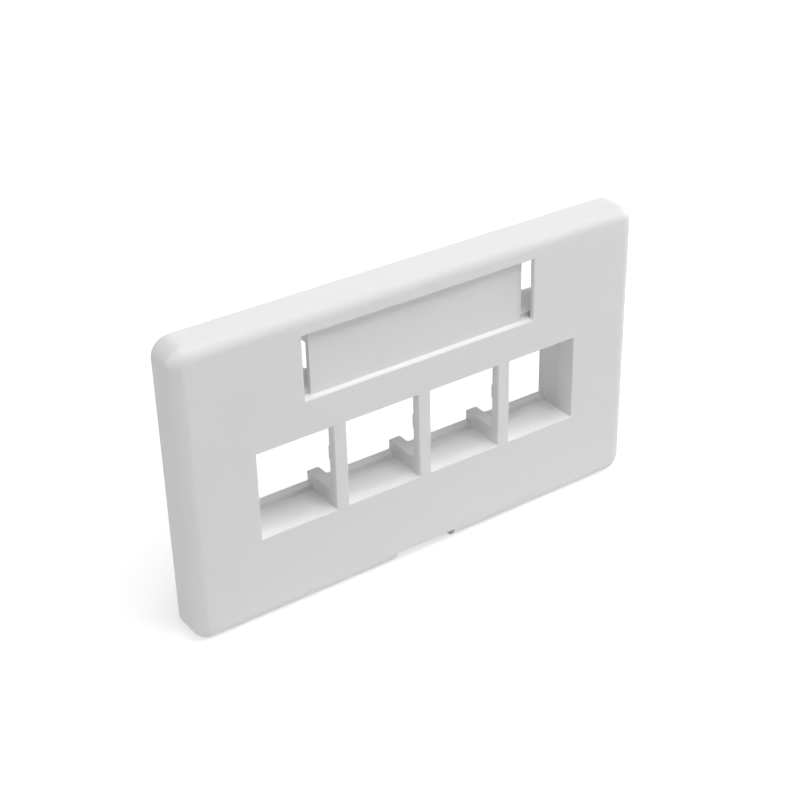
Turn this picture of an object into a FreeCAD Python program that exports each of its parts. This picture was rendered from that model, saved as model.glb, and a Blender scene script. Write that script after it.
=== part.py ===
"""Keystone faceplate: a one-piece moulded plate with a row of jack ports and a label field.

Millimetres. X runs along the row of ports, Z is up, and the front face looks along -Y.
Inside the body the front face is the plane Y = 0 and the lower edge is Z = 0. The body is then
moved so that the part's origin is the centre of its bounding box, on the lower edge.
"""
import FreeCAD, Part
import os

import Sketcher

NODE = "faceplate"

# Two lengths closer than this are the same length.
SAME = 1e-6

# alias, size, what it is
SIZES = [
    ("plate_width", 93.2, "plate, side to side"),
    ("plate_height", 55.0, "plate, lower edge to upper edge"),
    ("plate_corner", 3.2, "radius of the plate's four corners"),
    ("front_round", 2.4, "radius of the edge round the front face"),
    ("face_wall", 1.7, "thickness of the front face"),
    ("rim_wall", 1.6, "thickness of the rim"),
    ("rim_depth", 6.4, "rim, front face to the plane that meets the furniture"),
    ("port_count", 4, "ports in the row"),
    ("port_width", 14.7, "jack port, side to side"),
    ("port_height", 16.3, "jack port, sill to head"),
    ("port_pitch", 17.2, "distance between neighbouring ports"),
    ("port_sill", 16.3, "lower edge of the plate to the ports' sill"),
    ("housing_depth", 9.55, "front face to the back of the jack housing"),
    ("housing_side", 0.95, "thickness of the housing's end walls"),
    ("housing_shelf", 1.3, "thickness of the housing's floor and roof"),
    ("latch_room", 6.0, "head of a port to the underside of the roof"),
    ("throat_depth", 4.1, "front face to where the end ports widen"),
    ("throat_step", 0.1, "how far the end ports widen on each side"),
    ("divider_rise", 2.85, "dividers between ports, above the sill and below the roof"),
    ("sill_lip_rise", 1.0, "catch lip along the back of the floor"),
    ("head_lip_drop", 2.0, "catch lip along the back of the roof"),
    ("lip_wall", 1.7, "thickness of both catch lips"),
    ("roof_relief", 1.2, "depth of the cuts in the roof's back edge, one behind each mullion"),
    ("pad_height", 2.6, "locating pad behind each mullion, up and down"),
    ("pad_rise", 0.3, "locating pad behind each mullion, above the face"),
    ("pad_middle", 10.4, "sill to the middle of the locating pads"),
    ("field_width", 47.1, "label field, side to side"),
    ("field_height", 11.7, "label field, up and down"),
    ("field_bottom", 39.15, "lower edge of the plate to the label field"),
    ("field_recess", 1.25, "front face to the label field's floor"),
    ("field_wall", 0.9, "thickness of the label field's floor"),
    ("field_margin", 1.2, "how far that floor runs on above and below the field"),
    ("slot_width", 1.85, "cover slot at each end of the label field"),
    ("slot_lip", 0.9, "thickness of the face at the outer side of each slot"),
    ("slot_undercut", 1.0, "how far each slot widens behind that lip"),
    ("edge_round", 0.25, "radius of the front edges of the ports and the label field"),
    ("notch_width", 12.6, "pry notch in the lower edge, side to side"),
    ("notch_height", 2.1, "pry notch in the lower edge, up and down"),
    ("opening_height", 35.1, "cut-out in the furniture that the catches hold, up and down"),
    ("panel_thickness", 1.6, "thickest furniture panel between rim and catches"),
    ("hook_offset", 13.0, "middle of the plate to the middle of each catch"),
    ("hook_width", 8.0, "catch, side to side"),
    ("hook_wall", 1.4, "thickness of a catch's arm"),
    ("hook_bite", 1.2, "how far a catch's barb stands past the cut-out's edge"),
    ("hook_land", 0.8, "width of the flat at the back of a barb"),
    ("hook_ramp", 3.2, "length of a barb's ramp"),
    ("hook_clearance", 0.1, "gap between a catch's arm and the cut-out's edge"),
]

# Sizes that follow from the ones above.
LOWER_EDGE = "0 mm"
UPPER_EDGE = "sizes.plate_height"
PLATE_HALF = "(sizes.plate_width / 2)"
ROW_HALF = "(((sizes.port_count - 1) * sizes.port_pitch + sizes.port_width) / 2)"
BAY_HALF = f"({ROW_HALF} + sizes.throat_step)"
HOUSING_HALF = f"({BAY_HALF} + sizes.housing_side)"
SILL = "sizes.port_sill"
HEAD = "(sizes.port_sill + sizes.port_height)"
ROOF = f"({HEAD} + sizes.latch_room)"
ROOF_TOP = f"({ROOF} + sizes.housing_shelf)"
FLOOR_BOTTOM = f"({SILL} - sizes.housing_shelf)"
MULLION_LEFT = f"({ROW_HALF} - sizes.port_width)"
MULLION_RIGHT = f"({ROW_HALF} - sizes.port_pitch)"
HOUSING_LENGTH = "(sizes.housing_depth - sizes.face_wall)"
FIELD_HALF = "(sizes.field_width / 2)"
FIELD_BOTTOM = "sizes.field_bottom"
FIELD_TOP = "(sizes.field_bottom + sizes.field_height)"
FIELD_BACK = "(sizes.field_recess + sizes.field_wall)"
SLOT_INNER = f"({FIELD_HALF} - sizes.slot_width)"
CATCH_PLANE = "(sizes.rim_depth + sizes.panel_thickness)"
HOOK_REACH = f"({CATCH_PLANE} + sizes.hook_land + sizes.hook_ramp)"


def minus(distance):
    """The same distance on the other side of the middle."""
    return f"-({distance})"


def rectangle(left, right, bottom, top):
    return [(left, bottom), (right, bottom), (right, top), (left, top)]


def centred(half, bottom, top):
    return rectangle(minus(half), half, bottom, top)


def make_sheet(doc):
    sheet = doc.addObject("Spreadsheet::Sheet", "sizes")
    for row, (alias, size, meaning) in enumerate(SIZES, start=1):
        sheet.set(f"A{row}", alias)
        sheet.set(f"B{row}", str(size))
        sheet.set(f"C{row}", meaning)
        sheet.setAlias(f"B{row}", alias)
    doc.recompute()
    return sheet


class Moulding:
    """One PartDesign body and the kinds of step that shape it."""

    def __init__(self, doc, label):
        self.doc = doc
        self.body = doc.addObject("PartDesign::Body", label)
        self.body.Label = label

    def plane(self, role):
        return next(item for item in self.body.Origin.OriginFeatures if item.Role == role)

    def sketch(self, name, role, offset, outlines):
        """A sketch of closed outlines on an origin plane, moved along its normal."""
        sketch = self.body.newObject("Sketcher::SketchObject", name)
        sketch.AttachmentSupport = [(self.plane(role), "")]
        sketch.MapMode = "FlatFace"
        sketch.setExpression("AttachmentOffset.Base.z", offset)
        for corners in outlines:
            self.outline(sketch, corners)
        return sketch

    def front_sketch(self, name, depth, *outlines):
        """A sketch parallel to the front face, at a depth behind it."""
        return self.sketch(name, "XZ_Plane", minus(depth), outlines)

    def side_sketch(self, name, across, *outlines):
        """A sketch seen from the plate's end, at a distance right of the middle."""
        return self.sketch(name, "YZ_Plane", across, outlines)

    def outline(self, sketch, corners):
        """Straight lines through (across, up) corners, each held by its two dimensions."""
        first = sketch.GeometryCount
        count = len(corners)
        start = [FreeCAD.Rotation(FreeCAD.Vector(0, 0, 1), 360 * k / count).multVec(
            FreeCAD.Vector(1, 0, 0)) for k in range(count)]
        for k in range(count):
            sketch.addGeometry(Part.LineSegment(start[k], start[(k + 1) % count]))
        for k in range(count):
            following = first + (k + 1) % count
            sketch.addConstraint(Sketcher.Constraint("Coincident", first + k, 2, following, 1))
        for k, (across, up) in enumerate(corners):
            self.hold(sketch, "DistanceX", first + k, across)
            self.hold(sketch, "DistanceY", first + k, up)

    def hold(self, sketch, kind, line, distance):
        """Hold a line's first end at a distance from the sketch's origin."""
        ends = (-1, 1, line, 1)
        if distance.startswith("-"):
            ends = (line, 1, -1, 1)
            distance = distance[1:]
        index = sketch.addConstraint(Sketcher.Constraint(kind, *ends, 1.0))
        sketch.setExpression(f"Constraints[{index}]", distance)

    def step(self, kind, name, sketch, length):
        step = self.body.newObject(f"PartDesign::{kind}", name)
        step.Profile = sketch
        step.setExpression("Length", length)
        return step

    def pad(self, name, sketch, length):
        """Material from a front sketch towards the back."""
        pad = self.step("Pad", name, sketch, length)
        pad.Reversed = True
        return pad

    def side_pad(self, name, sketch, width):
        """Material to both sides of a side sketch."""
        pad = self.step("Pad", name, sketch, width)
        pad.Midplane = True
        return pad

    def pocket(self, name, sketch, length):
        """A hollow from a front sketch towards the back, which has to cut something."""
        self.doc.recompute()
        before = self.body.Shape.Volume
        pocket = self.step("Pocket", name, sketch, length)
        self.doc.recompute()
        if self.body.Shape.Volume > before - SAME:
            raise RuntimeError(f"{name} cuts nothing")
        return pocket

    def row(self, name, original, count):
        """Copies of a step, one port pitch apart."""
        pattern = self.body.newObject("PartDesign::LinearPattern", name)
        pattern.Originals = [original]
        pattern.Direction = (original.Profile[0], ["H_Axis"])
        pattern.Mode = "Spacing"
        pattern.setExpression("Offset", "sizes.port_pitch")
        pattern.setExpression("Occurrences", count)
        self.body.Tip = pattern

    def mirror(self, name, original):
        """A copy of a step on the other side of the plate's middle."""
        copy = self.body.newObject("PartDesign::Mirrored", name)
        copy.Originals = [original]
        copy.MirrorPlane = (self.plane("YZ_Plane"), [""])
        self.body.Tip = copy

    def fillet(self, name, radius, wanted):
        """Round the edges for which wanted(edge) is true."""
        self.doc.recompute()
        base = self.body.Tip
        edges = [f"Edge{n}" for n, edge in enumerate(base.Shape.Edges, start=1) if wanted(edge)]
        step = self.body.newObject("PartDesign::Fillet", name)
        step.Base = (base, edges)
        step.setExpression("Radius", radius)


def runs_back(edge):
    """A straight edge from front to back."""
    box = edge.BoundBox
    return box.YLength > SAME and box.XLength < SAME and box.ZLength < SAME


def in_front_face(edge):
    box = edge.BoundBox
    return abs(box.YMin) < SAME and abs(box.YMax) < SAME


def make_plate(part, sizes):
    """The front face with the rim round it, open at the back."""
    outline = part.front_sketch("plate_outline", LOWER_EDGE, centred(PLATE_HALF, LOWER_EDGE, UPPER_EDGE))
    part.pad("plate", outline, "sizes.rim_depth")
    part.fillet("plate_corners", "sizes.plate_corner", runs_back)
    part.fillet("front_edge", "sizes.front_round", in_front_face)

    inside = centred(f"{PLATE_HALF} - sizes.rim_wall", "sizes.rim_wall", f"{UPPER_EDGE} - sizes.rim_wall")
    part.pocket("hollow", part.front_sketch("hollow_outline", "sizes.face_wall", inside),
                "sizes.rim_depth - sizes.face_wall")
    inner_side = sizes.plate_width / 2 - sizes.rim_wall

    def in_hollow(edge):
        return runs_back(edge) and abs(abs(edge.BoundBox.XMin) - inner_side) < SAME

    part.fillet("hollow_corners", "sizes.plate_corner - sizes.rim_wall", in_hollow)


def make_housing(part):
    """The box behind the ports, with catch lips along the back of its floor and its roof."""
    walls = part.front_sketch("housing_outline", "sizes.face_wall",
                              centred(HOUSING_HALF, FLOOR_BOTTOM, ROOF_TOP),
                              centred(BAY_HALF, SILL, ROOF))
    part.pad("housing", walls, HOUSING_LENGTH)

    throat = part.front_sketch("throat_outline", "sizes.face_wall",
                               rectangle(minus(BAY_HALF), minus(ROW_HALF), SILL, ROOF),
                               rectangle(ROW_HALF, BAY_HALF, SILL, ROOF))
    part.pad("throat", throat, "sizes.throat_depth - sizes.face_wall")

    lip_front = "sizes.housing_depth - sizes.lip_wall"
    lips = part.side_sketch(
        "lip_outline", LOWER_EDGE,
        rectangle(lip_front, "sizes.housing_depth", SILL, f"{SILL} + sizes.sill_lip_rise"),
        rectangle(lip_front, "sizes.housing_depth", f"{ROOF} - sizes.head_lip_drop", ROOF))
    part.side_pad("catch_lips", lips, f"2 * {BAY_HALF}")


def make_ports(part):
    """The ports through the face, and the dividers and locating pads between them."""
    port = part.front_sketch("port_outline", LOWER_EDGE,
                             rectangle(minus(ROW_HALF), minus(MULLION_LEFT), SILL, HEAD))
    part.row("ports", part.pocket("port", port, "sizes.face_wall"), "sizes.port_count")

    left = minus(f"{MULLION_LEFT} - sizes.throat_step")
    right = minus(f"{MULLION_RIGHT} + sizes.throat_step")
    divider = part.front_sketch("divider_outline", "sizes.face_wall",
                                rectangle(left, right, SILL, f"{SILL} + sizes.divider_rise"),
                                rectangle(left, right, f"{ROOF} - sizes.divider_rise", ROOF))
    part.row("dividers", part.pad("divider", divider, HOUSING_LENGTH), "sizes.port_count - 1")

    middle = f"({SILL} + sizes.pad_middle)"
    mullion = (minus(MULLION_LEFT), minus(MULLION_RIGHT))
    pad = part.front_sketch("locating_pad_outline", "sizes.face_wall",
                            rectangle(*mullion, f"{middle} - sizes.pad_height / 2",
                                      f"{middle} + sizes.pad_height / 2"))
    part.row("locating_pads", part.pad("locating_pad", pad, "sizes.pad_rise"), "sizes.port_count - 1")

    relief = part.front_sketch("roof_relief_outline", "sizes.housing_depth - sizes.roof_relief",
                               rectangle(*mullion, HEAD, ROOF_TOP))
    part.row("roof_reliefs", part.pocket("roof_relief", relief, "sizes.roof_relief"),
             "sizes.port_count - 1")


def make_label_field(part):
    """The sunk field for a label, and the slots that hold a clear cover at its ends."""
    tray = part.front_sketch("tray_outline", "sizes.face_wall",
                             centred(FIELD_HALF, f"{FIELD_BOTTOM} - sizes.field_margin",
                                     f"{FIELD_TOP} + sizes.field_margin"))
    part.pad("tray", tray, f"{FIELD_BACK} - sizes.face_wall")

    field = part.front_sketch("field_outline", LOWER_EDGE, centred(FIELD_HALF, FIELD_BOTTOM, FIELD_TOP))
    part.pocket("field", field, "sizes.field_recess")

    slot = part.front_sketch("slot_outline", LOWER_EDGE,
                             rectangle(SLOT_INNER, FIELD_HALF, FIELD_BOTTOM, FIELD_TOP))
    part.mirror("slots", part.pocket("slot", slot, FIELD_BACK))

    undercut = part.front_sketch(
        "undercut_outline", "sizes.slot_lip",
        rectangle(SLOT_INNER, f"{FIELD_HALF} + sizes.slot_undercut", FIELD_BOTTOM, FIELD_TOP))
    part.mirror("undercuts", part.pocket("undercut", undercut, f"{FIELD_BACK} - sizes.slot_lip"))


def soften_openings(part, sizes):
    """A small round on the front edges of the ports and the label field."""
    inner_side = sizes.plate_width / 2 - sizes.front_round
    inner_top = sizes.plate_height - sizes.front_round

    def at_opening(edge):
        box = edge.BoundBox
        inside = abs(box.XMin) < inner_side - SAME and abs(box.XMax) < inner_side - SAME
        return in_front_face(edge) and inside and sizes.front_round + SAME < box.ZMin < inner_top - SAME

    part.fillet("opening_edges", "sizes.edge_round", at_opening)


def make_notch(part):
    """The notch in the lower edge where a blade lifts the plate off."""
    notch = part.front_sketch("notch_outline", LOWER_EDGE,
                              centred("(sizes.notch_width / 2)", LOWER_EDGE, "sizes.notch_height"))
    part.pocket("notch", notch, "sizes.rim_depth")


def make_catches(part):
    """Four barbed arms that snap behind the furniture's cut-out, two up and two down."""
    edge = f"(({UPPER_EDGE} + sizes.opening_height) / 2)"
    outer = f"({edge} - sizes.hook_clearance)"
    inner = f"({outer} - sizes.hook_wall)"
    barb = f"({edge} + sizes.hook_bite)"
    barb_end = f"{CATCH_PLANE} + sizes.hook_land"

    def arm(root):
        return [(root, inner), (HOOK_REACH, inner), (HOOK_REACH, outer), (barb_end, barb),
                (CATCH_PLANE, barb), (CATCH_PLANE, outer), (root, outer)]

    upper = arm(FIELD_BACK)
    lower = [(depth, f"({UPPER_EDGE} - {height})") for depth, height in arm("sizes.face_wall")]
    catches = part.side_sketch("catch_outline", "sizes.hook_offset", upper, lower)
    part.mirror("catches", part.side_pad("catch", catches, "sizes.hook_width"))


def check(doc, body):
    """Stop before anything is written if a step has failed."""
    for item in doc.Objects:
        if "Invalid" in item.State or "Error" in item.State:
            raise RuntimeError(f"{item.Name} failed: {item.State}")
    shape = body.Shape
    if shape.isNull() or not shape.isValid() or len(shape.Solids) != 1:
        raise RuntimeError(f"{body.Label} is not one valid solid")


doc = FreeCAD.newDocument("keystone_faceplate")
sizes = make_sheet(doc)
part = Moulding(doc, NODE)
make_plate(part, sizes)
make_housing(part)
make_ports(part)
make_label_field(part)
soften_openings(part, sizes)
make_notch(part)
make_catches(part)
part.body.setExpression("Placement.Base.y", f"-max({HOOK_REACH}; sizes.housing_depth) / 2")
doc.recompute()
check(doc, part.body)

os.makedirs("parts", exist_ok=True)
part.body.Shape.exportStep(f"parts/{NODE}.step")

solid = part.body.Shape.Solids[0]
print(NODE, "volume", round(solid.Volume, 1), "box", solid.BoundBox)
print("centre of mass", solid.CenterOfMass)
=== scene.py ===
"""A moulded keystone faceplate on a pale studio floor."""

import math

import bpy
from mathutils import Matrix, Vector


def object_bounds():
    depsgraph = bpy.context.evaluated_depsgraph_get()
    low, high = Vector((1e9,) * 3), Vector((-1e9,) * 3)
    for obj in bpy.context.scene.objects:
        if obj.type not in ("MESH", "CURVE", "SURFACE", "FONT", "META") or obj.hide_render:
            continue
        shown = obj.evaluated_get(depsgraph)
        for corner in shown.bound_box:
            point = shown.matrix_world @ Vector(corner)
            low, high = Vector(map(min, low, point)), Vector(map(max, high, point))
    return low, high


# Camera: its place in metres, its turn in degrees, its lens in millimetres, and the nearest and
# farthest it sees in metres.
CAMERA_PLACE = (-0.13673, -0.19734, 0.16634)
CAMERA_TURN = {"azimuth": -34.52, "elevation": 29.856, "roll": -1.32}
CAMERA_LENS = 71.7
CAMERA_SEES_FROM, CAMERA_SEES_TO = 0.01, 20

# Softboxes. Azimuth 0 is in front of the plate and 90 to its right, in degrees. The other sizes are
# in metres. A level is what a white surface facing the lamp would show.
SOFTBOXES = {
    "overhead": {"azimuth": 0, "elevation": 82, "away": 0.6, "width": 0.06, "height": 0.06, "level": 0.13},
    "front": {"azimuth": 0, "elevation": 65, "away": 0.8, "width": 0.5, "height": 0.4, "level": 0.57},
    "right": {"azimuth": 75, "elevation": 20, "away": 0.8, "width": 0.5, "height": 0.3, "level": 0.47},
    "left": {"azimuth": -90, "elevation": 30, "away": 0.8, "width": 0.5, "height": 0.4, "level": 0.24},
    "behind": {"azimuth": 150, "elevation": 30, "away": 0.8, "width": 0.5, "height": 0.4, "level": 0.12},
}

# The plastic's two tones. The sizes of its mottling, speckle and grain are in metres.
DARKER = (0.812, 0.799, 0.806)
LIGHTER = (0.852, 0.84, 0.848)
FLOW_SIZE = 0.024
SPECKLE_SIZE = 0.0011
GRAIN_SIZE = 0.00021
SPECKLE_SHARE = 0.3

# Its gloss: the smoothest it gets, and what the mottling and the grain add to that.
SMOOTHEST = 0.36
FLOW_ROUGHNESS = 0.1
GRAIN_ROUGHNESS = 0.14
PLASTIC_IOR = 1.53

# Its relief: how strong and how deep the grain is, and the radius that softens edges, in metres.
GRAIN_STRENGTH = 0.35
GRAIN_DEPTH = 0.000018
EDGE_RADIUS = 0.00012
EDGE_SAMPLES = 6

# The white table: its side in metres and how much light it sends back. Where it is looked at, the
# veil is the share of its light that it gives by itself, which softens the shadow on it. The glow is
# how bright that share is next to the plate, and the rise is what it gains with each metre away.
TABLE_SIDE = 6.0
TABLE_WHITE = 0.85
TABLE_VEIL = 0.39
TABLE_GLOW = 1.6
TABLE_RISE = 1.3


class Value:
    """A shader output that adds and multiplies by ordinary arithmetic."""

    def __init__(self, shading, socket):
        self.shading = shading
        self.socket = socket

    def _with(self, operation, other):
        return self.shading.node("Math", operation=operation, inputs=(self, other))

    def __add__(self, other):
        return self._with("ADD", other)

    def __mul__(self, other):
        return self._with("MULTIPLY", other)

    __radd__ = __add__
    __rmul__ = __mul__


class Shading:
    """The node tree of one material, or of the world, emptied."""

    def __init__(self, owner):
        owner.use_nodes = True
        self.tree = owner.node_tree
        self.tree.nodes.clear()

    def node(self, kind, inputs=None, output=0, **settings):
        """Adds a node. inputs are a tuple in socket order, or a dict by socket name."""
        made = self.tree.nodes.new("ShaderNode" + kind)
        for name, setting in settings.items():
            setattr(made, name, setting)
        given = inputs or {}
        for key, value in given.items() if isinstance(given, dict) else enumerate(given):
            if isinstance(value, Value):
                self.tree.links.new(value.socket, made.inputs[key])
            else:
                made.inputs[key].default_value = value
        return Value(self, made.outputs[output]) if made.outputs else made

    def noise(self, at, size, detail=2.0, rough=0.5):
        """Noise from 0 to 1 with blotches of about this size in metres."""
        return self.node(
            "TexNoise", {"Vector": at, "Scale": 1 / size, "Detail": detail, "Roughness": rough}
        )

    def blend(self, amount, first, second):
        """The two colours mixed by amount."""
        return self.node(
            "Mix", {"Factor": amount, "A": (*first, 1), "B": (*second, 1)}, output="Result", data_type="RGBA"
        )

    def looked_at(self):
        """1 where the eye sees this straight, mirrored or through glass, and 0 where it only lights."""
        return sum(
            self.node("LightPath", output=f"Is {ray} Ray") for ray in ("Camera", "Glossy", "Transmission")
        )


def moulded_plastic(name):
    """Off-white satin plastic: a fine spark-eroded grain under faint flow mottling."""
    material = bpy.data.materials.new(name)
    shading = Shading(material)
    here = shading.node("TexCoord", output="Object")
    flow = shading.noise(here, FLOW_SIZE, detail=3.0)
    speckle = shading.noise(here, SPECKLE_SIZE, detail=3.0, rough=0.6)
    grain = shading.noise(here, GRAIN_SIZE)
    tone = flow * (1 - SPECKLE_SHARE) + speckle * SPECKLE_SHARE
    soft_edge = shading.node("Bevel", {"Radius": EDGE_RADIUS}, samples=EDGE_SAMPLES)
    grainy = shading.node("Bump", {
        "Height": grain, "Strength": GRAIN_STRENGTH, "Distance": GRAIN_DEPTH, "Normal": soft_edge,
    })
    surface = shading.node("BsdfPrincipled", {
        "Base Color": shading.blend(tone, DARKER, LIGHTER),
        "Roughness": flow * FLOW_ROUGHNESS + grain * GRAIN_ROUGHNESS + SMOOTHEST,
        "IOR": PLASTIC_IOR,
        "Normal": grainy,
    })
    shading.node("OutputMaterial", {"Surface": surface})
    return material


def white_table():
    """A white table top that reads as pure white, except where it is shaded."""
    bpy.ops.mesh.primitive_plane_add(size=TABLE_SIDE)
    table = bpy.context.object
    table.name = "table"
    material = bpy.data.materials.new("white_table")
    shading = Shading(material)
    lit = shading.node("BsdfDiffuse", {"Color": (TABLE_WHITE, TABLE_WHITE, TABLE_WHITE, 1)})
    here = shading.node("TexCoord", output="Object")
    away = shading.node("VectorMath", (here,), output="Value", operation="LENGTH")
    glow = shading.node("Emission", {"Color": (1, 1, 1, 1), "Strength": away * TABLE_RISE + TABLE_GLOW})
    surface = shading.node("MixShader", (shading.looked_at() * TABLE_VEIL, lit, glow))
    shading.node("OutputMaterial", {"Surface": surface})
    table.data.materials.append(material)


def white_world():
    """A sky that gives no light and is seen as white."""
    world = bpy.data.worlds.new("studio")
    bpy.context.scene.world = world
    shading = Shading(world)
    sky = shading.node("Background", {"Color": (1, 1, 1, 1), "Strength": shading.looked_at()})
    shading.node("OutputWorld", {"Surface": sky})


def direction(azimuth, elevation):
    """Unit vector from the plate towards a place at these angles in degrees."""
    across, up = math.radians(azimuth), math.radians(elevation)
    return Vector((
        math.sin(across) * math.cos(up), -math.cos(across) * math.cos(up), math.sin(up)
    ))


def softbox(name, target, azimuth, elevation, away, width, height, level):
    """A rectangular lamp that faces the target."""
    light = bpy.data.lights.new(name, "AREA")
    light.shape = "RECTANGLE"
    light.size, light.size_y = width, height
    light.energy = level * (math.pi * away) ** 2
    lamp = bpy.data.objects.new(name, light)
    towards = direction(azimuth, elevation)
    lamp.location = target + towards * away
    lamp.rotation_mode = "QUATERNION"
    lamp.rotation_quaternion = towards.to_track_quat("Z", "Y")
    bpy.context.collection.objects.link(lamp)


def make_camera():
    """The scene's camera, set at its place and turned as CAMERA_TURN says."""
    back = direction(CAMERA_TURN["azimuth"], CAMERA_TURN["elevation"])
    level = Vector((-back.y, back.x, 0)).normalized()
    turn = Matrix((level, back.cross(level), back)).transposed()
    roll = Matrix.Rotation(math.radians(CAMERA_TURN["roll"]), 3, "Z")
    data = bpy.data.cameras.new("camera")
    data.lens = CAMERA_LENS
    data.clip_start, data.clip_end = CAMERA_SEES_FROM, CAMERA_SEES_TO
    camera = bpy.data.objects.new("camera", data)
    camera.matrix_world = Matrix.Translation(CAMERA_PLACE) @ (turn @ roll).to_4x4()
    bpy.context.collection.objects.link(camera)
    bpy.context.scene.camera = camera


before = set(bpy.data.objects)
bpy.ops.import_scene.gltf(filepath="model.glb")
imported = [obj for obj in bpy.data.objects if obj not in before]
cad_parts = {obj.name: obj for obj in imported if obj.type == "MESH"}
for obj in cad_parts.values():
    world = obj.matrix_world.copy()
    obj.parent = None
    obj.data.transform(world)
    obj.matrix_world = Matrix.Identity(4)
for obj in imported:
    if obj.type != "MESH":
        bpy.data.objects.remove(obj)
cad_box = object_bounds()

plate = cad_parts["faceplate"]
plastic = moulded_plastic("satin_plastic")
for slot in plate.material_slots:
    slot.material = plastic

middle = (cad_box[0] + cad_box[1]) / 2
white_table()
white_world()
for name, lamp in SOFTBOXES.items():
    softbox(name, middle, **lamp)
make_camera()

bpy.context.scene.view_settings.view_transform = "Standard"
